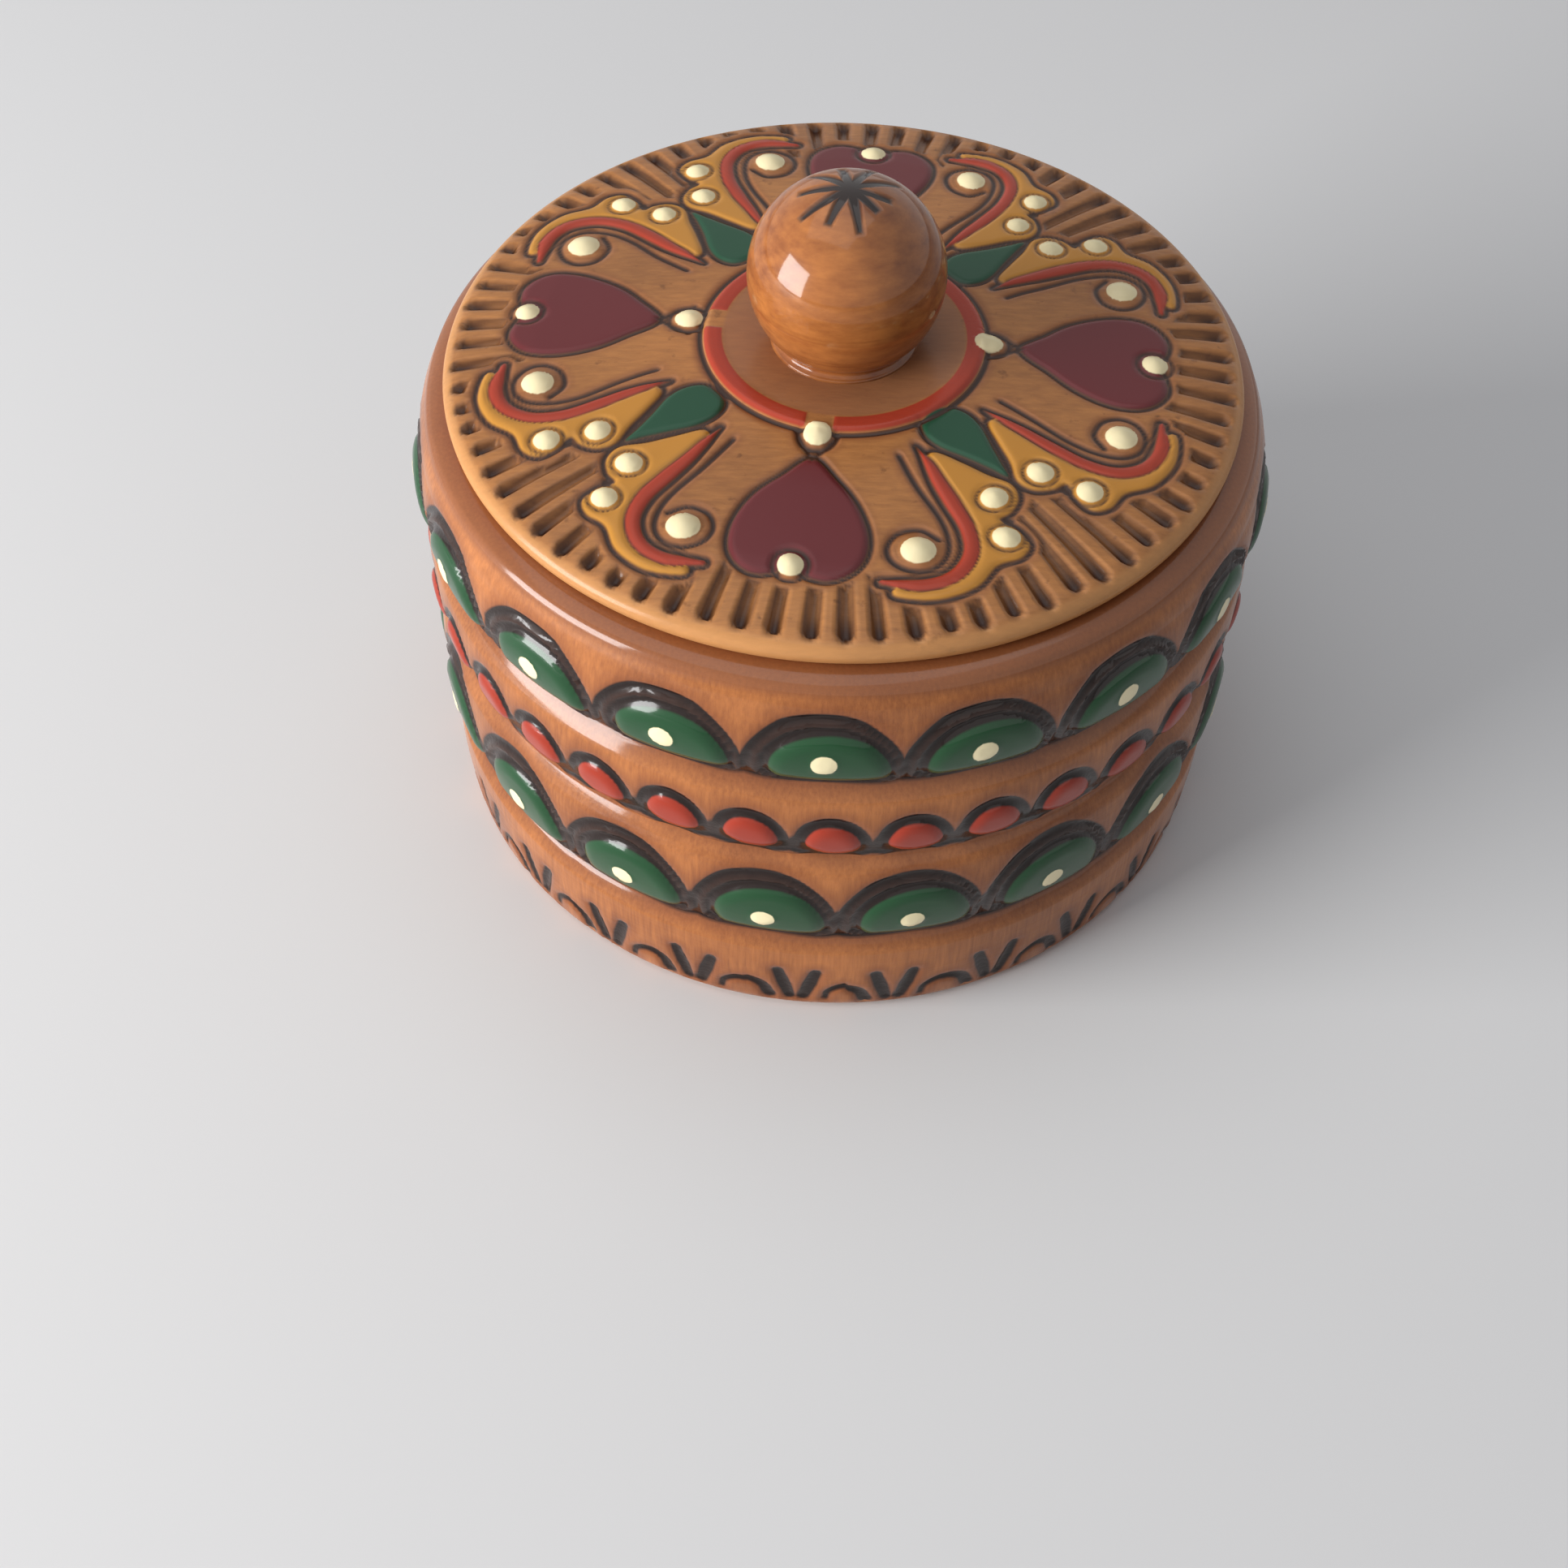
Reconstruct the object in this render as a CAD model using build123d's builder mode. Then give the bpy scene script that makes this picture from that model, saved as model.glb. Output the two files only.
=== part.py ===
from build123d import *
import os

os.makedirs("parts", exist_ok=True)

# Round turned wooden box with a lift-off lid and a ball knob.
# Origin: centre of the flat base, +Z up the turning axis. All sizes in mm.

# Box body, a deep turned cup
body_height = 49.0
foot_radius = 39.8
hem_radius = 40.7
hem_height = 1.6
rim_radius = 37.5
rim_lip_radius = 39.6
rim_lip_height = 48.3
mouth_radius = 34.0
wall_foot_radius = 33.2
floor_thickness = 6.0
floor_corner = 5.0
mouth_depth = 5.0

# Four turned rings on the outside, counted from the base up. The top of each
# is a plain slope that leans in to the groove under the next ring.
groove_radius = 40.0
lip_height = 0.5
lip_step = 0.35
foot_slope_start = 9.8
foot_ring_top = 12.3
foot_ring_radius = 40.95
foot_ring_bulge = 0.2
lower_slope_start = 23.0
lower_ring_top = 25.4
lower_ring_radius = 40.95
lower_ring_bulge = 0.5
chain_slope_start = 33.5
chain_ring_top = 36.3
chain_ring_radius = 41.0
chain_ring_bulge = 0.35
upper_ring_top = 44.9
upper_ring_radius = 40.75
upper_ring_bulge = 0.5
shoulder_height = 47.2
shoulder_radius = 40.05

# Carved petals on the rings
petal_count = 18
petal_relief = 0.35
petal_width = 12.9
upper_petal_height = 9.2
lower_petal_height = 11.0
petal_reach = 4.0
chain_count = 34
chain_width = 6.7
chain_height = 6.0
chain_height_above_groove = 4.2
chain_tilt = -18.0
upper_petal_phase = -92.4
lower_petal_phase = -99.5
chain_phase = -101.4

# Lid, a turned disc with a locating spigot
lid_clearance = 0.08
spigot_depth = 4.0
recess_radius = 29.5
recess_depth = 2.5
lid_edge_radius = 37.1
lid_bulge_radius = 37.8
lid_bulge_height = 1.4
lid_top_edge_radius = 36.3
lid_top_edge_height = 2.6
lid_mid_radius = 29.0
lid_mid_height = 3.4
lid_inner_radius = 13.6
lid_inner_height = 4.3
disc_radius = 13.0
disc_rise = 0.35
disc_height = 4.55

# Radial grooves round the lid's rim
flute_count = 76
flute_start = 31.6
flute_end = 39.0
flute_half_width = 0.75
flute_depth = 0.55
flute_start_height = 3.15
flute_slope = 0.105

# Ball knob, turned with its own neck and tenon
knob_centre_height = 11.7
knob_radius = 9.15
neck_radius = 6.35
neck_height = 0.55
neck_foot_radius = 7.0
neck_top_drop = 5.8
neck_top_radius = (knob_radius**2 - neck_top_drop**2) ** 0.5
tenon_radius = 4.0
seat_radius = 7.6

lid_seat = body_height


# Raised petals of the two petal rings: flat-bottomed almonds that follow the
# bulge of their ring, and the smaller tilted petals of the chain between.
with BuildPart() as upper_cutter:
    with BuildSketch(
        Plane(
            origin=(upper_ring_radius - petal_reach / 2, 0, chain_ring_top + lip_height + 0.2),
            x_dir=(0, 1, 0),
            z_dir=(1, 0, 0),
        )
    ):
        with BuildLine():
            Line((-petal_width / 2, 0), (petal_width / 2, 0))
            ThreePointArc(
                (petal_width / 2, 0),
                (0, upper_petal_height),
                (-petal_width / 2, 0),
            )
        make_face()
    extrude(amount=petal_reach)

with BuildPart() as lower_cutter:
    with BuildSketch(
        Plane(
            origin=(lower_ring_radius - petal_reach / 2, 0, foot_ring_top + lip_height + 0.2),
            x_dir=(0, 1, 0),
            z_dir=(1, 0, 0),
        )
    ):
        with BuildLine():
            Line((-petal_width / 2, 0), (petal_width / 2, 0))
            Spline(
                (petal_width / 2, 0),
                (petal_width * 0.36, lower_petal_height * 0.7),
                (0, lower_petal_height),
                (-petal_width * 0.36, lower_petal_height * 0.7),
                (-petal_width / 2, 0),
            )
        make_face()
    extrude(amount=petal_reach)

with BuildPart() as chain_cutter:
    with BuildSketch(
        Plane(
            origin=(chain_ring_radius - petal_reach / 2, 0, lower_ring_top + chain_height_above_groove),
            x_dir=(0, 1, 0),
            z_dir=(1, 0, 0),
        )
    ):
        Ellipse(chain_width / 2, chain_height / 2, rotation=chain_tilt)
    extrude(amount=petal_reach)

with BuildPart() as upper_petals:
    with PolarLocations(0, petal_count, start_angle=upper_petal_phase):
        add(upper_cutter.part)
    with BuildSketch(Plane.XZ):
        with BuildLine():
            skin_a = ThreePointArc(
                (groove_radius + lip_step + petal_relief, chain_ring_top + lip_height),
                (
                    upper_ring_radius + upper_ring_bulge + petal_relief,
                    (chain_ring_top + upper_ring_top) / 2,
                ),
                (upper_ring_radius + petal_relief, upper_ring_top),
            )
            Polyline(
                (upper_ring_radius + petal_relief, upper_ring_top),
                (shoulder_radius + petal_relief, shoulder_height),
                (groove_radius - lip_step, shoulder_height),
                (groove_radius - lip_step, chain_ring_top + lip_height),
                (groove_radius + lip_step + petal_relief, chain_ring_top + lip_height),
            )
        make_face()
    revolve(axis=Axis.Z, mode=Mode.INTERSECT)

with BuildPart() as lower_petals:
    with PolarLocations(0, petal_count, start_angle=lower_petal_phase):
        add(lower_cutter.part)
    with BuildSketch(Plane.XZ):
        with BuildLine():
            skin_b = ThreePointArc(
                (groove_radius + lip_step + petal_relief, foot_ring_top + lip_height),
                (
                    lower_ring_radius + lower_ring_bulge + petal_relief,
                    (foot_ring_top + lower_slope_start) / 2,
                ),
                (lower_ring_radius + petal_relief, lower_slope_start),
            )
            Polyline(
                (lower_ring_radius + petal_relief, lower_slope_start),
                (groove_radius + petal_relief, lower_ring_top),
                (groove_radius - lip_step, lower_ring_top),
                (groove_radius - lip_step, foot_ring_top + lip_height),
                (groove_radius + lip_step + petal_relief, foot_ring_top + lip_height),
            )
        make_face()
    revolve(axis=Axis.Z, mode=Mode.INTERSECT)

with BuildPart() as chain_petals:
    with PolarLocations(0, chain_count, start_angle=chain_phase):
        add(chain_cutter.part)
    with BuildSketch(Plane.XZ):
        with BuildLine():
            skin_c = ThreePointArc(
                (groove_radius + lip_step + petal_relief, lower_ring_top + lip_height),
                (
                    chain_ring_radius + chain_ring_bulge + petal_relief,
                    (lower_ring_top + chain_slope_start) / 2,
                ),
                (chain_ring_radius + petal_relief, chain_slope_start),
            )
            Polyline(
                (chain_ring_radius + petal_relief, chain_slope_start),
                (groove_radius - lip_step, chain_slope_start),
                (groove_radius - lip_step, lower_ring_top + lip_height),
                (groove_radius + lip_step + petal_relief, lower_ring_top + lip_height),
            )
        make_face()
    revolve(axis=Axis.Z, mode=Mode.INTERSECT)

# Box body: one piece of wood, turned outside and hollowed from the top.
with BuildPart() as box_body:
    with BuildSketch(Plane.XZ):
        with BuildLine():
            foot_line = Line((0, 0), (foot_radius, 0))
            hem = ThreePointArc(
                (foot_radius, 0),
                (hem_radius - 0.25, hem_height * 0.35),
                (hem_radius, hem_height),
            )
            foot_ring = ThreePointArc(
                (hem_radius, hem_height),
                (foot_ring_radius + foot_ring_bulge, (hem_height + foot_slope_start) / 2),
                (foot_ring_radius, foot_slope_start),
            )
            foot_slope = Polyline(
                (foot_ring_radius, foot_slope_start),
                (groove_radius, foot_ring_top),
                (groove_radius + lip_step, foot_ring_top + lip_height),
            )
            lower_ring = ThreePointArc(
                (groove_radius + lip_step, foot_ring_top + lip_height),
                (lower_ring_radius + lower_ring_bulge, (foot_ring_top + lower_slope_start) / 2),
                (lower_ring_radius, lower_slope_start),
            )
            lower_slope = Polyline(
                (lower_ring_radius, lower_slope_start),
                (groove_radius, lower_ring_top),
                (groove_radius + lip_step, lower_ring_top + lip_height),
            )
            chain_ring = ThreePointArc(
                (groove_radius + lip_step, lower_ring_top + lip_height),
                (chain_ring_radius + chain_ring_bulge, (lower_ring_top + chain_slope_start) / 2),
                (chain_ring_radius, chain_slope_start),
            )
            chain_slope = Polyline(
                (chain_ring_radius, chain_slope_start),
                (groove_radius, chain_ring_top),
                (groove_radius + lip_step, chain_ring_top + lip_height),
            )
            upper_ring = ThreePointArc(
                (groove_radius + lip_step, chain_ring_top + lip_height),
                (upper_ring_radius + upper_ring_bulge, (chain_ring_top + upper_ring_top) / 2),
                (upper_ring_radius, upper_ring_top),
            )
            shoulder = Polyline(
                (upper_ring_radius, upper_ring_top),
                (shoulder_radius, shoulder_height),
                (rim_lip_radius, rim_lip_height),
            )
            rim = ThreePointArc(
                (rim_lip_radius, rim_lip_height),
                ((rim_lip_radius + rim_radius) / 2 + 0.12, (rim_lip_height + body_height) / 2 + 0.12),
                (rim_radius, body_height),
            )
            inside = Polyline(
                (rim_radius, body_height),
                (mouth_radius, body_height),
                (mouth_radius, body_height - mouth_depth),
                (wall_foot_radius, floor_thickness + floor_corner),
            )
            corner = ThreePointArc(
                (wall_foot_radius, floor_thickness + floor_corner),
                (
                    wall_foot_radius - floor_corner * 0.293,
                    floor_thickness + floor_corner * 0.293,
                ),
                (wall_foot_radius - floor_corner, floor_thickness),
            )
            floor_line = Polyline(
                (wall_foot_radius - floor_corner, floor_thickness),
                (0, floor_thickness),
                (0, 0),
            )
        make_face()
    revolve(axis=Axis.Z)
    add(upper_petals.part)
    add(lower_petals.part)
    add(chain_petals.part)
box_body.part.label = "box_body"

# Cutter for one V groove of the lid's rim, lying along the rim's slope.
with BuildPart() as flute_cutter:
    with BuildSketch(
        Plane(
            origin=(flute_start, 0, lid_seat + flute_start_height),
            x_dir=(0, 1, 0),
            z_dir=(1, 0, -flute_slope),
        )
    ):
        with BuildLine():
            Polyline(
                (0, -flute_depth),
                (flute_half_width * 1.6, flute_half_width),
                (-flute_half_width * 1.6, flute_half_width),
                close=True,
            )
        make_face()
    extrude(amount=flute_end - flute_start)

# Lid: a gently domed disc. Its spigot drops into the mouth of the body.
with BuildPart() as lid:
    with BuildSketch(Plane.XZ):
        with BuildLine():
            disc_top = Polyline(
                (tenon_radius, lid_seat - spigot_depth + recess_depth),
                (tenon_radius, lid_seat + disc_height),
                (seat_radius, lid_seat + disc_height),
                (disc_radius - 0.3, lid_seat + lid_inner_height + disc_rise),
            )
            disc_edge = Line(
                (disc_radius - 0.3, lid_seat + lid_inner_height + disc_rise),
                (lid_inner_radius, lid_seat + lid_inner_height),
            )
            dome = ThreePointArc(
                (lid_inner_radius, lid_seat + lid_inner_height),
                (lid_mid_radius, lid_seat + lid_mid_height),
                (lid_top_edge_radius, lid_seat + lid_top_edge_height),
            )
            edge_top = ThreePointArc(
                (lid_top_edge_radius, lid_seat + lid_top_edge_height),
                (lid_bulge_radius - 0.35, lid_seat + lid_bulge_height + 0.75),
                (lid_bulge_radius, lid_seat + lid_bulge_height),
            )
            edge_bottom = ThreePointArc(
                (lid_bulge_radius, lid_seat + lid_bulge_height),
                (lid_bulge_radius - 0.15, lid_seat + lid_bulge_height * 0.45),
                (lid_edge_radius, lid_seat),
            )
            underside = Polyline(
                (lid_edge_radius, lid_seat),
                (mouth_radius - lid_clearance, lid_seat),
                (mouth_radius - lid_clearance, lid_seat - spigot_depth),
                (recess_radius, lid_seat - spigot_depth),
                (recess_radius - 1.2, lid_seat - spigot_depth + recess_depth),
                (tenon_radius, lid_seat - spigot_depth + recess_depth),
            )
        make_face()
    revolve(axis=Axis.Z)
    with PolarLocations(0, flute_count):
        add(flute_cutter.part, mode=Mode.SUBTRACT)
lid.part.label = "lid"

# Knob: a ball with a short waisted neck. Its tenon is glued through the lid.
with BuildPart() as knob:
    with BuildSketch(Plane.XZ):
        with BuildLine():
            tenon_end = Polyline(
                (0, lid_seat - spigot_depth + recess_depth),
                (tenon_radius, lid_seat - spigot_depth + recess_depth),
                (tenon_radius, lid_seat + disc_height),
                (neck_foot_radius, lid_seat + disc_height),
            )
            neck = ThreePointArc(
                (neck_foot_radius, lid_seat + disc_height),
                (neck_radius, lid_seat + disc_height + neck_height),
                (neck_top_radius, lid_seat + knob_centre_height - neck_top_drop),
            )
            ball = ThreePointArc(
                (neck_top_radius, lid_seat + knob_centre_height - neck_top_drop),
                (knob_radius, lid_seat + knob_centre_height),
                (0, lid_seat + knob_centre_height + knob_radius),
            )
            axis_line = Line(
                (0, lid_seat + knob_centre_height + knob_radius),
                (0, lid_seat - spigot_depth + recess_depth),
            )
        make_face()
    revolve(axis=Axis.Z)
knob.part.label = "knob"

export_step(box_body.part, "parts/box_body.step")
export_step(lid.part, "parts/lid.step")
export_step(knob.part, "parts/knob.step")
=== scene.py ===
import math

import bmesh
import bpy
import numpy as np
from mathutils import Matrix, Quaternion, Vector


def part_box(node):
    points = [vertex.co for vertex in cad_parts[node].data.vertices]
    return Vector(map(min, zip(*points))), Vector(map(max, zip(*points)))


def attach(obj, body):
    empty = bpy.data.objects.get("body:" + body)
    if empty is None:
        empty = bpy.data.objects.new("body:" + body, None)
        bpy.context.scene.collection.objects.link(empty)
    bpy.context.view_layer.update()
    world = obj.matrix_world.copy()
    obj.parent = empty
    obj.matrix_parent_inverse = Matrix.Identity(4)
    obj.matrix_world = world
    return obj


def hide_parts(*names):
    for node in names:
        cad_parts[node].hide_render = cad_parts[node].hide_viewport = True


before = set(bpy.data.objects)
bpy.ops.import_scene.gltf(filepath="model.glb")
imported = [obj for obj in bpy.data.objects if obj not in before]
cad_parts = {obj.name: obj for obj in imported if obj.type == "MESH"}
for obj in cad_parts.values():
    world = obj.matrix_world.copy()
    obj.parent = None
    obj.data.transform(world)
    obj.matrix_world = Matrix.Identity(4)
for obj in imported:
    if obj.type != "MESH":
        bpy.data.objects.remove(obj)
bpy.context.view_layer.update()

# Box body: a deep cup of lime wood, turned from one block with four rings round
# its outside. The petals are outlined with a hot tool that sinks and blackens
# the wood, filled with thick enamel, and varnished over.
mm = 0.001
body_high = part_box("box_body")[1]
rim_height = body_high.z / mm
widest = body_high.x / mm - 0.05
bore = 34.0
ring_radius = 41.0
foot_groove, lower_groove, chain_groove = 12.3, 25.4, 36.3
body_steps = 576
ring_step = 0.37


def linear(hex_colour):
    """A colour written as sRGB hex, in the linear values a shader takes."""
    parts = [int(hex_colour[i:i + 2], 16) / 255 for i in (0, 2, 4)]
    return tuple(c / 12.92 if c <= 0.04045 else ((c + 0.055) / 1.055) ** 2.4 for c in parts) + (1.0,)


def turned(name, profile, steps, closed=False):
    """A piece off the lathe: half its profile, in mm, spun round the Z axis."""
    bm = bmesh.new()
    verts = [bm.verts.new((r * mm, 0.0, z * mm)) for r, z in profile]
    edges = [bm.edges.new(pair) for pair in zip(verts, verts[1:])]
    if closed:
        edges.append(bm.edges.new((verts[-1], verts[0])))
    bmesh.ops.spin(
        bm, geom=verts + edges, axis=(0, 0, 1), cent=(0, 0, 0),
        angle=math.tau, steps=steps, use_merge=True,
    )
    bmesh.ops.remove_doubles(bm, verts=bm.verts, dist=0.002 * mm)
    bmesh.ops.recalc_face_normals(bm, faces=bm.faces)
    mesh = bpy.data.meshes.new(name)
    bm.to_mesh(mesh)
    bm.free()
    mesh.shade_smooth()
    piece = bpy.data.objects.new(name, mesh)
    bpy.context.collection.objects.link(piece)
    return piece


def bowed(start, end, bow):
    """Points up a turned curve from start to end that swells by bow mm half way."""
    count = max(2, round(math.dist(start, end) / ring_step))
    t = np.linspace(0, 1, count + 1)
    r = start[0] + (end[0] - start[0]) * t + bow * 4 * t * (1 - t)
    z = start[1] + (end[1] - start[1]) * t
    return list(zip(r.tolist(), z.tolist()))


# Foot, then each ring with the slope over it that runs in to the next groove,
# the shoulder, the flat rim, and the bore down to the floor inside.
body = turned(
    "box_body_wood",
    [(0, 0), (12, 0), (24, 0), (34, 0), (39.3, 0), (39.8, 0.12), (40.3, 0.55), (40.6, 1.1)]
    + bowed((40.7, 1.6), (ring_radius, 10.5), 0.15)
    + bowed((40.8, 10.8), (39.95, foot_groove), 0.05)
    + [(40.2, foot_groove + 0.35)]
    + bowed((40.4, foot_groove + 0.6), (ring_radius, 23.3), 0.6)
    + bowed((40.8, 23.65), (39.8, lower_groove), 0.05)
    + [(40.1, lower_groove + 0.35)]
    + bowed((40.4, lower_groove + 0.6), (ring_radius, 34.3), 0.55)
    + bowed((40.8, 34.65), (39.7, chain_groove), 0.05)
    + [(40.0, chain_groove + 0.35)]
    + bowed((40.35, chain_groove + 0.6), (40.75, 44.9), 0.65)
    + bowed((40.6, 45.25), (40.0, 47.2), 0.1)
    + [(39.75, 47.8), (39.55, 48.3), (39.1, 48.62), (38.3, 48.85)]
    + [(37.5, rim_height), (35.8, rim_height), (bore + 0.3, rim_height), (bore, rim_height - 0.3)]
    + [(bore, 46.5), (bore, 44.0), (33.8, 36.0), (33.5, 25.0), (33.3, 15.0), (33.2, 11.0)]
    + [(32.6, 8.6), (31.7, 7.45), (30.4, 6.6), (28.2, 6.0), (20, 6.0), (10, 6.0), (0, 6.0)],
    body_steps,
)

# Every line and outline is kept as the distance to it, in mm, up to nowhere.
nowhere = 9.0
line_steps = 7
rng = np.random.default_rng(17)


def drawn_line(points, closed=False):
    """A line drawn freehand through a few points."""
    pts = np.array(points, float)
    if closed:
        pts = np.vstack([pts[-1], pts, pts[0], pts[1]])
    else:
        pts = np.vstack([2 * pts[0] - pts[1], pts, 2 * pts[-1] - pts[-2]])
    t = np.linspace(0, 1, line_steps, endpoint=False)[:, None]
    spans = [
        0.5 * (2 * b + (c - a) * t + (2 * a - 5 * b + 4 * c - d) * t**2 + (3 * b - a - 3 * c + d) * t**3)
        for a, b, c, d in zip(pts, pts[1:], pts[2:], pts[3:])
    ]
    line = np.vstack(spans)
    return line if closed else np.vstack([line, pts[-2]])


def gap_to(x, y, points, closed=False):
    """How far each point is from a drawn line, in mm, and below 0 inside a closed one."""
    line = drawn_line(points, closed)
    ends = np.roll(line, -1, axis=0) if closed else line[1:]
    best = np.full(x.shape, 1e9)
    inside = np.zeros(x.shape, bool)
    for (ax, ay), (bx, by) in zip(line, ends):
        dx, dy = bx - ax, by - ay
        t = np.clip(((x - ax) * dx + (y - ay) * dy) / (dx * dx + dy * dy + 1e-12), 0, 1)
        best = np.minimum(best, (x - ax - t * dx) ** 2 + (y - ay - t * dy) ** 2)
        if closed and ay != by:
            inside ^= ((ay > y) != (by > y)) & (x < dx * (y - ay) / dy + ax)
    best = np.sqrt(best)
    return np.where(inside, -best, best) if closed else best


def ease(low, high, value):
    """0 up to low and 1 past high, with a soft change between."""
    t = np.clip((value - low) / (high - low), 0, 1)
    return t * t * (3 - 2 * t)


def domed(gap, size):
    """The round top of a drop of paint: 1 over its middle and 0 at its edge."""
    return np.sqrt(np.clip(-gap / size, 0, 1))


def about_axis(x, y):
    """Radius and azimuth, in degrees, about the axis of the lathe."""
    return np.hypot(x, y), np.degrees(np.arctan2(y, x))


def place_beside(azimuth, radius, count, phase, wander):
    """How far each point is to the side of the nearest of count marks, in mm, and which mark that is."""
    turn = (azimuth - phase) * count / 360
    number = np.round(turn).astype(int) % count
    shift = rng.uniform(-wander, wander, count)[number]
    return (turn - np.round(turn)) * math.tau * radius / count - shift, number


def read_points(piece):
    """Where the vertices of a piece are, in mm."""
    co = np.empty(len(piece.data.vertices) * 3)
    piece.data.vertices.foreach_get("co", co)
    return co.reshape(-1, 3) / mm


def write_points(piece, points):
    """Moves the vertices of a piece."""
    piece.data.vertices.foreach_set("co", (points * mm).ravel())
    piece.data.update()


def mark(piece, worked, elsewhere, **values):
    """Keeps values at every vertex for the finish to read, or elsewhere where the piece isn't worked."""
    for name, value in values.items():
        value = np.clip(np.where(worked, value, elsewhere), -nowhere, nowhere)
        layer = piece.data.attributes.new(name, "FLOAT", "POINT")
        layer.data.foreach_set("value", value.astype(np.float32))


points = read_points(body)
radius, azimuth = about_axis(points[:, 0], points[:, 1])
height = points[:, 2]
outside = (radius > 37.2) & (height > 0.9) & (height < 48.4)
relief, ridge = np.zeros(radius.shape), np.zeros(radius.shape)
green_gap = cream_gap = np.full(radius.shape, nowhere)
burn_gap = green_gap

# Two rows of green petals: each stands under a double burnt arch that is broad
# at the upper left and closes up at the lower right, and carries a cream dot.
petal_count = 18
dot_radius, dot_up = 1.15, 3.9
under_paint = 0.6
for phase, foot, tall in ((-92.4, 36.75, 9.1), (-99.5, 12.75, 10.8)):
    side, number = place_beside(azimuth, ring_radius, petal_count, phase, 0.22)
    up = (height - foot) * rng.uniform(0.97, 1.03, petal_count)[number]
    arch = gap_to(side, up, [
        (-7.5, -0.4), (-7.6, tall * 0.25), (-6.6, tall * 0.6), (-4.1, tall * 0.9), (-0.6, tall),
        (3.0, tall * 0.94), (6.0, tall * 0.66), (7.3, tall * 0.3), (7.4, -0.4), (0, -0.5)], closed=True)
    green = gap_to(side, up, [
        (-4.4, 1.2), (-4.9, tall * 0.3), (-4.2, tall * 0.54), (-2.0, tall * 0.72), (1.0, tall * 0.775),
        (3.8, tall * 0.68), (5.5, tall * 0.44), (5.9, tall * 0.2), (4.7, 0.95), (1.0, 0.75), (-2.8, 0.85)],
        closed=True)
    burn = np.maximum(arch, -green)
    middle = ease(0.42, 0.1, np.abs(green + arch) / 2) * ease(0.3, 0.7, np.minimum(green, -arch))
    dot = np.hypot(side, (up - dot_up) * 0.9) - dot_radius
    relief += 0.12 * ease(0.5, -0.3, arch) + 0.34 * ease(0.25, -1.3, green)
    relief += 0.34 * middle - 0.42 * ease(0.3, -0.45, burn) + 0.32 * domed(dot, dot_radius)
    green_gap = np.minimum(green_gap, green)
    cream_gap = np.minimum(cream_gap, dot)
    burn_gap = np.minimum(burn_gap, np.maximum(arch, -green - under_paint))
    ridge = np.maximum(ridge, middle)

# The chain of small red petals. Each leans a little and sits low in its burnt
# ring, and the rings run together at their lower corners.
chain_count, chain_middle = 34, 29.35
side, number = place_beside(azimuth, ring_radius, chain_count, -101.4, 0.15)
up = height - chain_middle - rng.uniform(-0.15, 0.15, chain_count)[number]
ring = gap_to(side, up, [
    (-3.9, -2.5), (-3.6, 0.2), (-2.6, 2.4), (-0.4, 3.4), (1.9, 2.7), (3.4, 0.6), (3.9, -2.5), (2.2, -3.4),
    (0.0, -3.75), (-2.2, -3.4)], closed=True)
red_gap = gap_to(side, up, [
    (-2.3, -1.2), (-2.4, 0.2), (-1.5, 1.8), (0.0, 2.2), (1.6, 1.5), (2.5, 0.0), (2.5, -1.4), (1.2, -2.3),
    (-0.8, -2.3)], closed=True)
burn = np.maximum(ring, -red_gap)
relief += 0.10 * ease(0.4, -0.3, ring) + 0.26 * ease(0.2, -1.1, red_gap) - 0.40 * ease(0.3, -0.4, burn)
burn_gap = np.minimum(burn_gap, np.maximum(ring, -red_gap - under_paint))

# Round the foot, burnt V strokes stand with a small arch between each pair.
stroke_count = 25
side, number = place_beside(azimuth, ring_radius, stroke_count, -95.0, 0.35)
up = height + rng.uniform(-0.25, 0.25, stroke_count)[number]
arm = gap_to(np.abs(side), up, [(1.9, 6.7), (1.4, 4.8), (0.7, 1.9)])
arm = arm - 0.72 + 0.06 * np.abs(up - 4.4)
across = side - np.sign(side) * math.pi * ring_radius / stroke_count
bow = gap_to(across, up, [(-2.3, 1.8), (-1.9, 3.3), (-0.3, 4.3), (1.5, 3.6), (2.3, 1.8)])
bow = bow - 0.50 - 0.08 * across
stroke = np.minimum(arm, bow)
relief -= 0.38 * ease(0.35, -0.4, stroke)
burn_gap = np.minimum(burn_gap, stroke)

reach = np.where(outside, np.minimum(radius + relief, widest), radius)
points[:, :2] *= (reach / np.maximum(radius, 1e-6))[:, None]
write_points(body, points)
painted = ease(0.1, -0.2, np.minimum.reduce([green_gap, red_gap, cream_gap]))
mark(
    body, outside, nowhere,
    green_gap=green_gap, red_gap=red_gap, cream_gap=cream_gap, burn_gap=burn_gap,
)
mark(body, outside, 0.0, ridge=ridge, smooth=painted)
# The top of the rim and the shoulder just under it, where the lid's edge overhangs, are marked for a darker
# brown: painted shade of the lid.
mark(
    body, True, 0.0, inner=(radius < bore + 0.2) | (height < 0.05),
    rim=ease(47.3, 47.9, height) * ease(bore, bore + 1.0, radius),
)


def add_node(tree, kind, inputs=(), **settings):
    """Adds one node with its settings, and links or sets each of its inputs."""
    new = tree.nodes.new(kind)
    for key, value in settings.items():
        setattr(new, key, value)
    for key, value in dict(inputs).items():
        if isinstance(value, bpy.types.NodeSocket):
            tree.links.new(value, new.inputs[key])
        else:
            new.inputs[key].default_value = value
    return new


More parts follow.
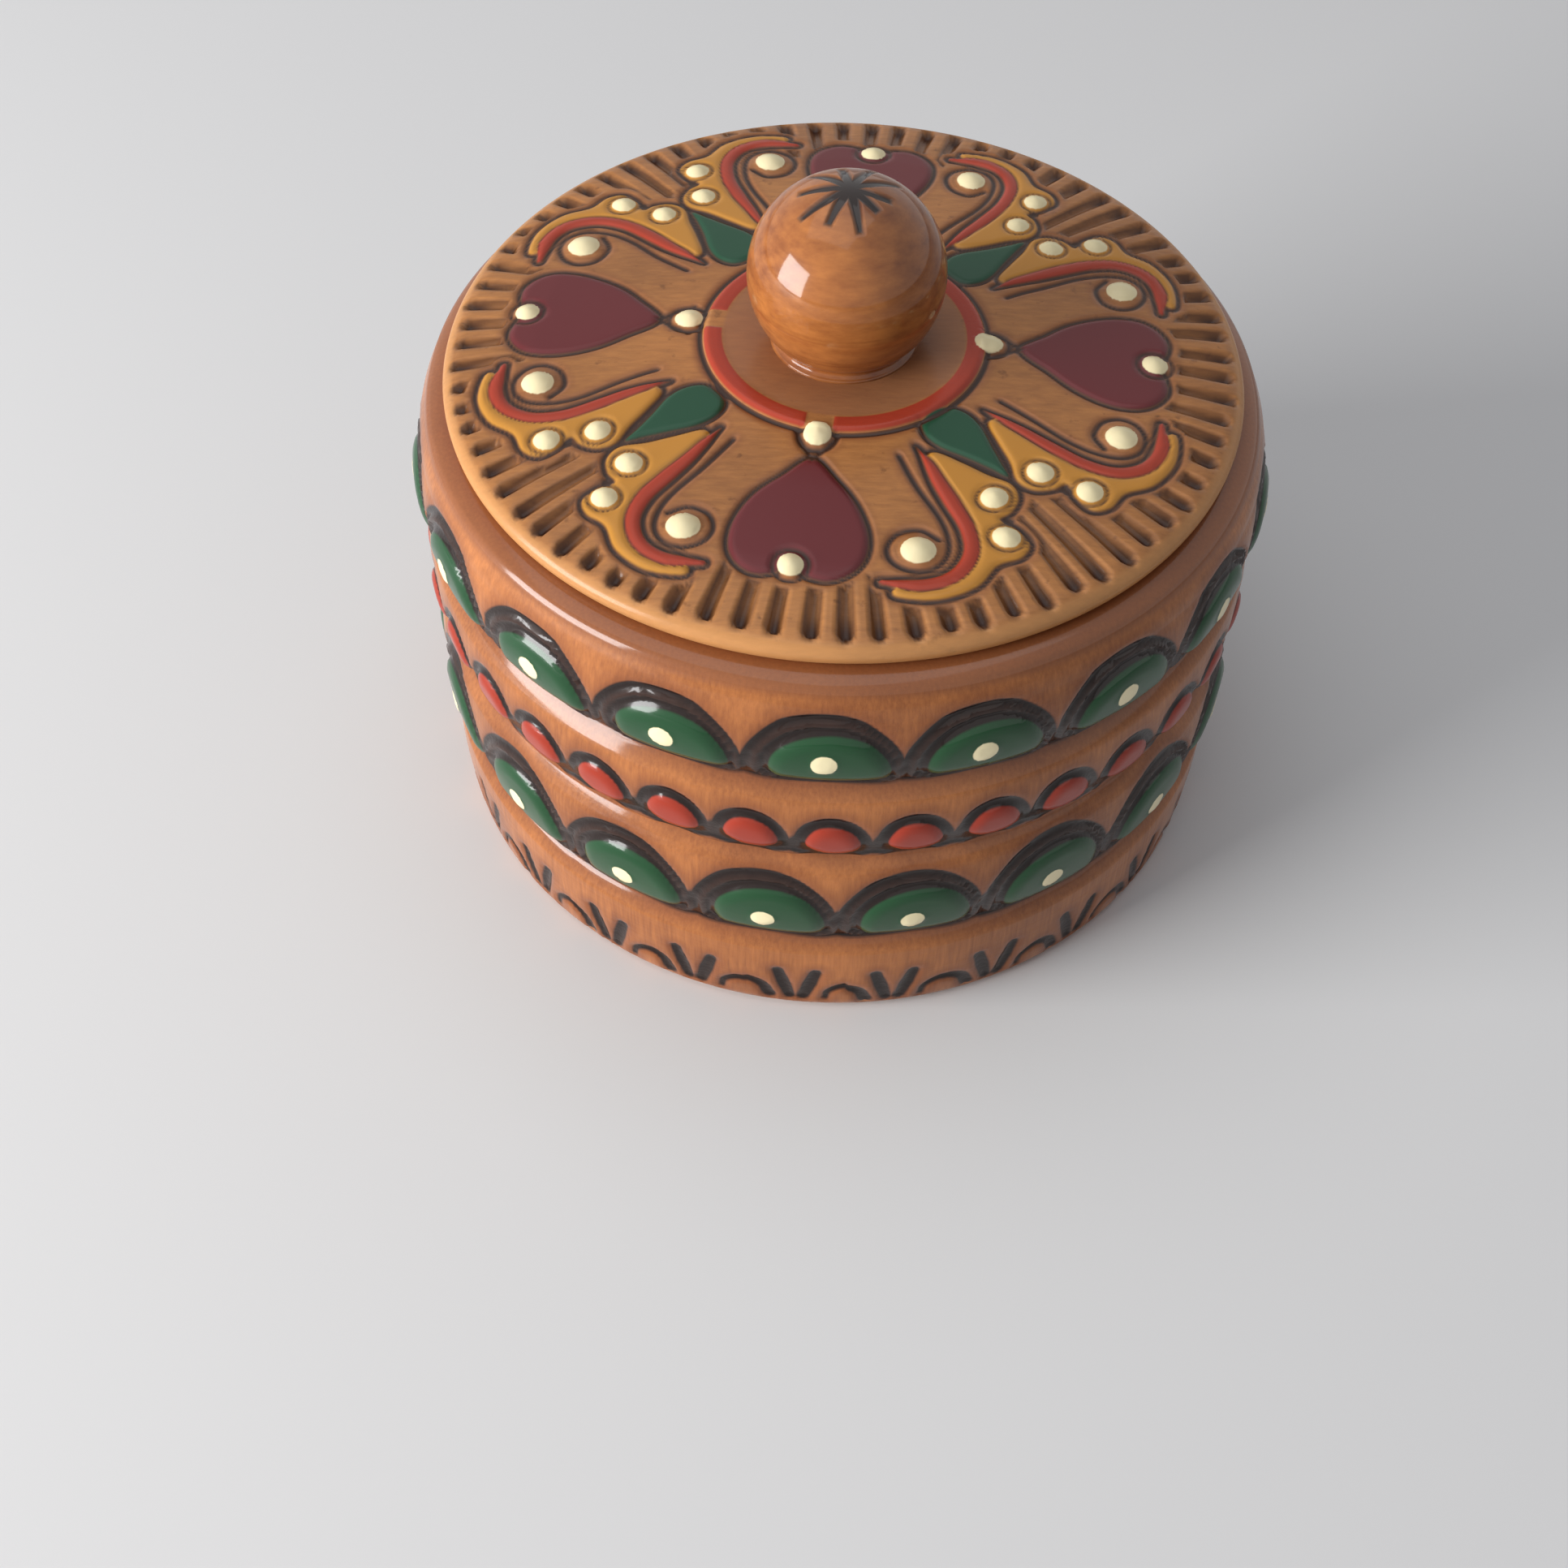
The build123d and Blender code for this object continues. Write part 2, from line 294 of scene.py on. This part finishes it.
def lay_on(tree, under, hex_colour, value, start=0.0, full=1.0, most=1.0):
    """A colour over what is under it, from none where the value is at start to most at full.

    A value given by name is one that is kept at the piece's vertices.
    """
    if isinstance(value, str):
        value = add_node(tree, "ShaderNodeAttribute", attribute_name=value).outputs["Fac"]
    amount = add_node(tree, "ShaderNodeMapRange", {
        "Value": value, "From Min": start, "From Max": full, "To Max": most})
    over = add_node(tree, "ShaderNodeMix", {
        0: amount.outputs["Result"], 6: under, 7: linear(hex_colour)}, data_type="RGBA")
    return over.outputs[2]


def wood_grain(tree, pale, deep, stretch, fibre_width):
    """Fibres fibre_width mm across, over slow clouds of darker and paler wood."""
    place = add_node(tree, "ShaderNodeTexCoord").outputs["Object"]
    along = add_node(tree, "ShaderNodeMapping", {"Vector": place, "Scale": stretch}).outputs["Vector"]
    fibre = add_node(tree, "ShaderNodeTexNoise", {
        "Vector": along, "Scale": 1 / (fibre_width * mm), "Detail": 5.0, "Roughness": 0.6}).outputs["Fac"]
    cloud = add_node(tree, "ShaderNodeTexNoise", {
        "Vector": place, "Scale": 1 / (12.5 * mm), "Detail": 3.0, "Roughness": 0.55}).outputs["Fac"]
    both = add_node(tree, "ShaderNodeMath", {0: fibre, 1: cloud}, operation="ADD").outputs[0]
    return lay_on(tree, linear(deep), pale, both, 0.72, 1.28), fibre


def lathe_rings(tree, spacing, waver):
    """Level rings left by the lathe, about spacing mm apart, that waver a little round the piece."""
    place = add_node(tree, "ShaderNodeTexCoord").outputs["Object"]
    level = add_node(tree, "ShaderNodeMapping", {"Vector": place, "Scale": (waver, waver, 1.0)})
    return add_node(tree, "ShaderNodeTexNoise", {
        "Vector": level.outputs["Vector"], "Scale": 1 / (spacing * mm), "Detail": 2.0}).outputs["Fac"]


def grip_of(tree, bare, painted):
    """Strength of the fine relief: bare on the wood, and painted where enamel has filled it."""
    smooth = add_node(tree, "ShaderNodeAttribute", attribute_name="smooth").outputs["Fac"]
    return add_node(tree, "ShaderNodeMapRange", {
        "Value": smooth, "To Min": bare, "To Max": painted}).outputs["Result"]


def new_finish(name, roughness, coat=0.0, coat_roughness=0.03):
    """A finish that leaves most of the shine to the varnish over it."""
    finish = bpy.data.materials.new(name)
    finish.use_nodes = True
    shader = finish.node_tree.nodes["Principled BSDF"]
    shader.inputs["IOR"].default_value = 1.5
    shader.inputs["Specular IOR Level"].default_value = 0.05
    shader.inputs["Roughness"].default_value = roughness
    shader.inputs["Coat Weight"].default_value = coat
    shader.inputs["Coat Roughness"].default_value = coat_roughness
    return finish, finish.node_tree, shader


def join_finish(tree, shader, colour, height, strength, depth):
    """Gives the shader its colour and a fine relief of depth mm."""
    bump = add_node(tree, "ShaderNodeBump", {"Height": height, "Strength": strength, "Distance": depth * mm})
    tree.links.new(colour, shader.inputs["Base Color"])
    tree.links.new(bump.outputs["Normal"], shader.inputs["Normal"])


# Lime wood, turned, burnt and enamelled under gloss varnish. The short fibres
# stand upright, the lathe has left faint level rings, the wood is toasted round
# each burn, and the burnt wood is crisp and catches small lights.
finish, tree, shader = new_finish("varnished_lime_wood_with_enamel", 0.36, 0.6, 0.11)
wood, fibre = wood_grain(tree, "B4703E", "8E5530", (1.0, 1.0, 0.08), 0.35)
colour = lay_on(tree, wood, "D9A871", "inner", most=0.65)
# Painted shade of the lid's overhang: the rim is darkened to brown.
colour = lay_on(tree, colour, "7E4A2E", "rim", most=0.7)
colour = lay_on(tree, colour, "6B3620", "burn_gap", 1.7, 0.0, 0.65)
colour = lay_on(tree, colour, "1C0F0B", "burn_gap", 0.15, -0.09)
colour = lay_on(tree, colour, "4A3026", "ridge", most=0.4)
colour = lay_on(tree, colour, "1A4426", "green_gap", 0.04, -0.12)
colour = lay_on(tree, colour, "97301C", "red_gap", 0.04, -0.12)
colour = lay_on(tree, colour, "EEE0B4", "cream_gap", 0.05, -0.05)
lathe = lathe_rings(tree, 0.45, 0.02)
rough = add_node(tree, "ShaderNodeMath", {0: fibre, 1: lathe}, operation="ADD").outputs[0]
place = add_node(tree, "ShaderNodeTexCoord").outputs["Object"]
char = add_node(tree, "ShaderNodeTexNoise", {
    "Vector": place, "Scale": 1 / (0.67 * mm), "Detail": 2.0}).outputs["Fac"]
burnt = add_node(tree, "ShaderNodeAttribute", attribute_name="burn_gap").outputs["Fac"]
burnt = add_node(tree, "ShaderNodeMapRange", {"Value": burnt, "From Min": 0.2, "From Max": -0.2})
char = add_node(tree, "ShaderNodeMath", {0: char, 1: burnt.outputs["Result"]}, operation="MULTIPLY")
rough = add_node(tree, "ShaderNodeMath", {
    0: char.outputs[0], 1: 2.0, 2: rough}, operation="MULTIPLY_ADD").outputs[0]
join_finish(tree, shader, colour, rough, grip_of(tree, 0.14, 0.02), 0.2)
body.data.materials.append(finish)
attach(body, "body")
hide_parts("box_body")

# Lid: a thin domed disc turned with a spigot under it. Round its rim short
# flutes are pressed in with a hot rod; four hearts, four leaves and eight
# scrolls are burnt in outline on its face and filled with enamel.
seat = rim_height
hub_top = seat + 4.55
underside = seat - 1.5
spigot_foot = seat - 4.0
spigot_radius = bore - 0.08
hole_radius = 4.0
lid_steps = 684
face_step = 0.3


def face_height(r):
    """Height of the lid's face over its seat at radius r, in mm."""
    radii = [0, 7.6, 12.9, 13.5, 20, 29, 33, 36.3]
    return np.interp(r, radii, [4.55, 4.55, 4.63, 4.3, 3.98, 3.4, 3.04, 2.6])


lid = turned(
    "lid_wood",
    [(hole_radius, underside), (hole_radius, hub_top), (5.8, hub_top)]
    + [(float(r), float(seat + face_height(r))) for r in np.arange(7.3, 36.31, face_step)]
    + [(36.7, seat + 2.45), (37.1, seat + 2.25), (37.45, seat + 2.0), (37.7, seat + 1.7)]
    + [(37.8, seat + 1.4), (37.75, seat + 1.0), (37.6, seat + 0.6), (37.35, seat + 0.25), (37.1, seat)]
    + [(36.0, seat), (spigot_radius, seat), (spigot_radius, seat - 2.0), (spigot_radius, seat - 3.7)]
    + [(33.6, spigot_foot), (31.5, spigot_foot), (29.5, spigot_foot), (29.0, seat - 2.6)]
    + [(28.3, underside), (22, underside), (12, underside)],
    lid_steps, closed=True,
)
points = read_points(lid)
radius, azimuth = about_axis(points[:, 0], points[:, 1])
face = (points[:, 2] > seat + 2.0) & (radius > 7.2)

# The drawing is done by eye: it stands a little off the lid's centre, no heart
# is quite a quarter turn from the next, and every line wanders.
hearts_at = [-97.8, -5.1, 82.4, 172.8]
drawing_centre = (-0.6, 0.5)
drawn_radius, drawn_azimuth = about_axis(points[:, 0] - drawing_centre[0], points[:, 1] - drawing_centre[1])
marks = [hearts_at[3] - 360] + hearts_at + [hearts_at[0] + 360]
around = np.interp(drawn_azimuth, marks, [-90, 0, 90, 180, 270, 360])
drift = 0.14 * np.sin(np.radians(around * 3) + 1.1) + 0.10 * np.sin(np.radians(around * 7) + radius * 0.35)
swerve = 0.16 * np.sin(np.radians(around * 5) + 0.4) + 0.10 * np.sin(np.radians(around * 9) - radius * 0.4)
turn = around + np.degrees(swerve / np.maximum(radius, 8)) * ease(15, 19, radius)
spread = 1 + 0.035 * ease(14, 18, drawn_radius)
drawn_radius = (drawn_radius + drift * ease(15, 19, radius)) / spread

# Out along the middle line of the nearest heart and to its side, in mm, and the
# same for the nearest leaf, which stands half way between two hearts.
from_heart = np.abs((turn + 45) % 90 - 45)
along = drawn_radius * np.cos(np.radians(from_heart))
side = drawn_radius * np.sin(np.radians(from_heart))
leaf_along = drawn_radius * np.cos(np.radians(45 - from_heart))
leaf_side = drawn_radius * np.sin(np.radians(45 - from_heart))


def both_halves(half):
    """A closed outline from one half, mirrored across its middle line."""
    return half + [(a, -b) for a, b in half[-2:0:-1]]


heart = gap_to(along, side, both_halves([
    (16.6, 0), (19.0, 2.5), (21.4, 4.4), (24.4, 5.7), (27.0, 5.9), (28.8, 5.1), (29.9, 3.4), (29.7, 1.5),
    (28.8, 0)]), closed=True)
leaf = gap_to(leaf_along, leaf_side, both_halves([
    (13.9, 0), (14.2, 1.6), (15.5, 2.4), (17.2, 2.2), (19.4, 1.35), (21.4, 0.65), (23.2, 0)]), closed=True)
scroll = gap_to(along, side, [
    (13.9, 8.5), (17.2, 10.5), (20.0, 12.3), (22.6, 13.7), (25.4, 14.2), (27.9, 13.2), (29.3, 10.9),
    (29.4, 7.6)])
scroll_half_width = np.interp(drawn_radius, [15.5, 18.5, 23, 28], [0.2, 0.5, 0.68, 0.66])
red = scroll - scroll_half_width + 0.4 * ease(10.5, 7.4, side)
yellow = gap_to(along, side, [
    (14.2, 10.0), (15.2, 12.4), (16.3, 14.6), (17.1, 16.7), (18.6, 17.5), (20.2, 17.1), (21.2, 16.3),
    (22.0, 17.6), (23.5, 18.8), (25.1, 18.2), (26.3, 16.4), (28.8, 15.0), (30.6, 12.2), (30.8, 8.9),
    (29.7, 9.0), (28.6, 12.4), (26.4, 13.9), (23.8, 14.0), (20.4, 12.4), (17.6, 10.7), (15.4, 9.3)],
    closed=True)
paint = np.minimum.reduce([heart, leaf, red, yellow])

# Eight cream dots go with each heart: in the eye and on the two lobes of the
# scroll at either side, in the notch of the heart and off its point.
dot_size = 1.16
eye = np.hypot(along - 25.7, side - 9.95)
first_lobe = np.hypot(along - 18.95, side - 15.5)
second_lobe = np.hypot(along - 23.2, side - 16.9)
inner_dot = np.hypot(along - 14.1, side)
notch_dot = np.hypot(along - 28.8, side)
cream = np.minimum.reduce([first_lobe, second_lobe, eye - 0.3, inner_dot - 0.1, notch_dot]) - dot_size

# A red ring runs round the plain disc, and two of the inner dots break it.
band = np.abs(radius - 12.35) - 0.85
bare_gap = np.where((around < 40) | (around > 225), 1.25 - side, -nowhere)
band = np.maximum(band, bare_gap)

# Burnt lines: round each shape, beside each scroll and round its eye, across
# the point of each heart, round the dots and outside the red ring.
crossing = gap_to(along, side, [(13.9, 2.0), (15.6, 0.9), (17.2, -0.6)]) - 0.2
curl = gap_to(along, side, [
    (15.2, 7.2), (18.2, 9.0), (21.4, 11.2), (23.8, 12.2), (26.0, 12.3), (27.5, 11.3), (27.9, 9.6),
    (27.1, 8.0), (25.6, 7.4), (24.0, 8.1), (23.3, 9.9), (24.2, 11.5)]) - 0.23
burn = np.minimum.reduce([
    np.abs(heart - 0.2) - 0.22, np.abs(leaf - 0.15) - 0.2, curl, crossing,
    np.maximum(np.abs(np.minimum(red, yellow) - 0.22) - 0.22, 0.1 - leaf),
    np.maximum(np.abs(red) - 0.06, yellow + 0.3),
    np.abs(inner_dot - 1.75) - 0.22, np.abs(notch_dot - 1.6) - 0.16, np.abs(radius - 13.55) - 0.26,
    np.abs(first_lobe - 1.5) - 0.1, np.abs(second_lobe - 1.5) - 0.1,
    np.hypot(along - 21.3, side - 17.0) - 0.45])
burn = np.where(radius > 13.0, burn, nowhere)

# The flutes start where the drawing ends and are burnt deepest at their
# rounded outer ends.
flute_count = 76
beside, number = place_beside(azimuth, radius, flute_count, -90.2, 0.16)
flute_end = 36.7 + rng.uniform(-0.25, 0.25, flute_count)[number]
half_width = np.interp(radius, [25, 31, 36], [0.38, 0.5, 0.68])
flute = np.hypot(beside, np.maximum(radius - flute_end + 0.7, 0)) - half_width
drawing_end = np.interp(from_heart, [0, 27, 34, 45], [29.8, 29.8, 25.5, 23.5])
start = np.minimum.reduce([paint - 0.7, eye - 2.7, notch_dot - 2.0, radius - drawing_end])
start = start - rng.uniform(0, 0.6, flute_count)[number]
flute = np.maximum(flute, -start)
sunk = ease(0.22, -0.42, flute)
edge = 0.75 * ease(0.3, 0.05, np.abs(flute + 0.05))
scorch = np.maximum(edge, sunk * (0.55 + 0.45 * ease(33.6, 35.8, radius)))

flute_depth = np.interp(radius, [25, 33, 36], [0.35, 0.55, 0.8])
relief = -flute_depth * sunk - 0.24 * ease(0.25, -0.2, burn)
relief += 0.10 * ease(0.2, -0.6, paint) + 0.08 * ease(0.2, -0.3, band)
relief = relief * ease(-0.05, 0.25, cream) + 0.60 * domed(cream, dot_size)
points[:, 2] += np.where(face, relief * ease(37.4, 36.8, radius), 0)
write_points(lid, points)
mark(
    lid, face, nowhere,
    heart_gap=heart, leaf_gap=leaf, red_gap=np.minimum(red, band), yellow_gap=yellow,
    cream_gap=cream, burn_gap=burn,
)
mark(
    lid, face, 0.0,
    scorch=scorch, disc=ease(11.6, 11.2, radius), smooth=ease(0.1, -0.2, np.minimum(paint, cream)),
)
# The lid's rounded edge is marked for a lighter colour: a painted highlight where the edge catches the light.
mark(lid, True, 0.0, rounded=ease(36.6, 37.3, radius) * ease(seat - 0.1, seat + 0.3, points[:, 2]))

# The same lime wood and enamels. Its varnish is thinner on the face, the hot
# rod has browned the flutes, and small dark pits show in the bare wood.
finish, tree, shader = new_finish("varnished_lime_wood_fluted_and_enamelled", 0.42, 0.35, 0.22)
wood, fibre = wood_grain(tree, "B57A46", "96633A", (0.22, 1.0, 1.0), 0.5)
place = add_node(tree, "ShaderNodeTexCoord").outputs["Object"]
pits = add_node(tree, "ShaderNodeTexNoise", {
    "Vector": place, "Scale": 1 / (1.4 * mm), "Detail": 4.0}).outputs["Fac"]
colour = lay_on(tree, wood, "5C3822", pits, 0.64, 0.74, 0.5)
colour = lay_on(tree, colour, "946449", "disc", most=0.6)
# Painted highlight: the rounded edge of the lid is lightened.
colour = lay_on(tree, colour, "CE9760", "rounded", most=0.5)
colour = lay_on(tree, colour, "7A4630", "burn_gap", 0.9, 0.0, 0.5)
colour = lay_on(tree, colour, "3C1F12", "scorch")
for hex_colour, name in (
    ("C28637", "yellow_gap"), ("A63C28", "red_gap"), ("204A34", "leaf_gap"), ("66282B", "heart_gap"),
):
    colour = lay_on(tree, colour, hex_colour, name, 0.08, -0.08)
colour = lay_on(tree, colour, "3C2820", "burn_gap", 0.16, -0.12)
colour = lay_on(tree, colour, "EEDFB2", "cream_gap", 0.05, -0.05)
join_finish(tree, shader, colour, fibre, grip_of(tree, 0.16, 0.03), 0.3)
lid.data.materials.append(finish)
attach(lid, "lid_body")
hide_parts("lid")

# Knob: a ball turned with a short waisted neck and a tenon, glued through the
# lid. A star of short strokes is burnt on its crown.
ball_height = seat + 11.7
ball_radius = 9.15
neck_radius = 5.8
tenon_radius = hole_radius - 0.02
neck_angle = math.degrees(math.asin(-neck_radius / ball_radius))
knob_steps = 240
ball = [
    (ball_radius * math.cos(math.radians(a)), ball_height + ball_radius * math.sin(math.radians(a)))
    for a in np.linspace(neck_angle, 90, 120)[:-1]
]
knob = turned(
    "knob_wood",
    [(0, underside), (tenon_radius, underside), (tenon_radius, hub_top), (7.0, hub_top)]
    + [(6.72, seat + 4.66), (6.48, seat + 4.85), (6.35, seat + 5.12), (6.45, seat + 5.4), (6.72, seat + 5.65)]
    + ball + [(0, ball_height + ball_radius)],
    knob_steps,
)
points = read_points(knob)
crown, azimuth = about_axis(points[:, 0], points[:, 1])
star_strokes = 10
lengths = rng.uniform(3.4, 5.2, star_strokes)
side, number = place_beside(azimuth, crown, star_strokes, -80.0, 0.3)
half_width = np.interp(crown, [0, 2, 5], [0.75, 0.5, 0.28])
star = np.maximum(np.abs(side) - half_width, crown - lengths[number])
star = np.where(points[:, 2] > ball_height, star, nowhere)
outward = points - np.array([0, 0, ball_height])
outward /= np.linalg.norm(outward, axis=1)[:, None]
points -= outward * (0.2 * ease(0.2, -0.25, star))[:, None]
write_points(knob, points)
mark(knob, True, 0.0, burn_gap=star)

# Varnished lime wood again, turned across the fibres, so that level rings of
# deeper colour show round its lower half.
finish, tree, shader = new_finish("varnished_turned_lime_wood", 0.3, 0.6, 0.08)
wood = wood_grain(tree, "AC6B37", "784122", (0.5, 1.0, 1.6), 1.6)[0]
lathe = lathe_rings(tree, 0.625, 0.03)
colour = lay_on(tree, wood, "713A1C", lathe, 0.55, 0.8, 0.5)
colour = lay_on(tree, colour, "231613", "burn_gap", 0.2, -0.2)
join_finish(tree, shader, colour, lathe, 0.15, 0.2)
knob.data.materials.append(finish)
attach(knob, "lid_body")
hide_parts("knob")

# The table and the studio: a plain pale matt floor under a white surround, with
# a low window at the left and a soft light above.
bm = bmesh.new()
bmesh.ops.create_grid(bm, x_segments=1, y_segments=1, size=3.0)
floor_mesh = bpy.data.meshes.new("floor")
bm.to_mesh(floor_mesh)
bm.free()
floor = bpy.data.objects.new("floor", floor_mesh)
bpy.context.collection.objects.link(floor)
finish, _, shader = new_finish("pale_floor", 0.9)
shader.inputs["Base Color"].default_value = linear("DFDEDD")
floor.data.materials.append(finish)

world = bpy.data.worlds.new("studio")
bpy.context.scene.world = world
world.use_nodes = True
tree = world.node_tree
ray = add_node(tree, "ShaderNodeLightPath").outputs
seen = add_node(tree, "ShaderNodeMath", {
    0: ray["Is Camera Ray"], 1: ray["Is Glossy Ray"]}, operation="MAXIMUM").outputs[0]
seen = add_node(tree, "ShaderNodeMath", {
    0: seen, 1: ray["Is Transmission Ray"]}, operation="MAXIMUM").outputs[0]
background = tree.nodes["Background"]
tree.links.new(lay_on(tree, linear("8B8D92"), "FFFFFF", seen), background.inputs["Color"])
background.inputs["Strength"].default_value = 1.0


def soft_lamp(name, place, width, tall, power):
    """A softbox turned towards the box."""
    lamp = bpy.data.lights.new(name, "AREA")
    lamp.shape = "RECTANGLE"
    lamp.size, lamp.size_y = width, tall
    lamp.energy = power
    stand = bpy.data.objects.new(name, lamp)
    stand.location = place
    middle_of_box = Vector((0, 0, 0.04))
    stand.rotation_euler = (middle_of_box - Vector(place)).to_track_quat("-Z", "Y").to_euler()
    bpy.context.collection.objects.link(stand)


soft_lamp("window", (-0.65, -0.27, 0.20), 0.44, 0.36, 8.6)
soft_lamp("ceiling", (-0.15, 0.10, 0.95), 0.9, 0.9, 2.6)

# The camera stands where the photograph was taken from, close in front of the
# box and above it.
camera_data = bpy.data.cameras.new("camera")
camera_data.sensor_width = 36.0
camera_data.lens = 47.47
camera = bpy.data.objects.new("camera", camera_data)
camera.location = (-0.0050, -0.1529, 0.1309 + rim_height * mm)
look_down, lean = math.radians(51.86), math.radians(0.889)
camera.rotation_mode = "QUATERNION"
sight = Vector((0, math.cos(look_down), -math.sin(look_down)))
camera.rotation_quaternion = sight.to_track_quat("-Z", "Y") @ Quaternion((0, 0, 1), lean)
bpy.context.collection.objects.link(camera)
bpy.context.scene.camera = camera
bpy.context.scene.view_settings.view_transform = "Standard"
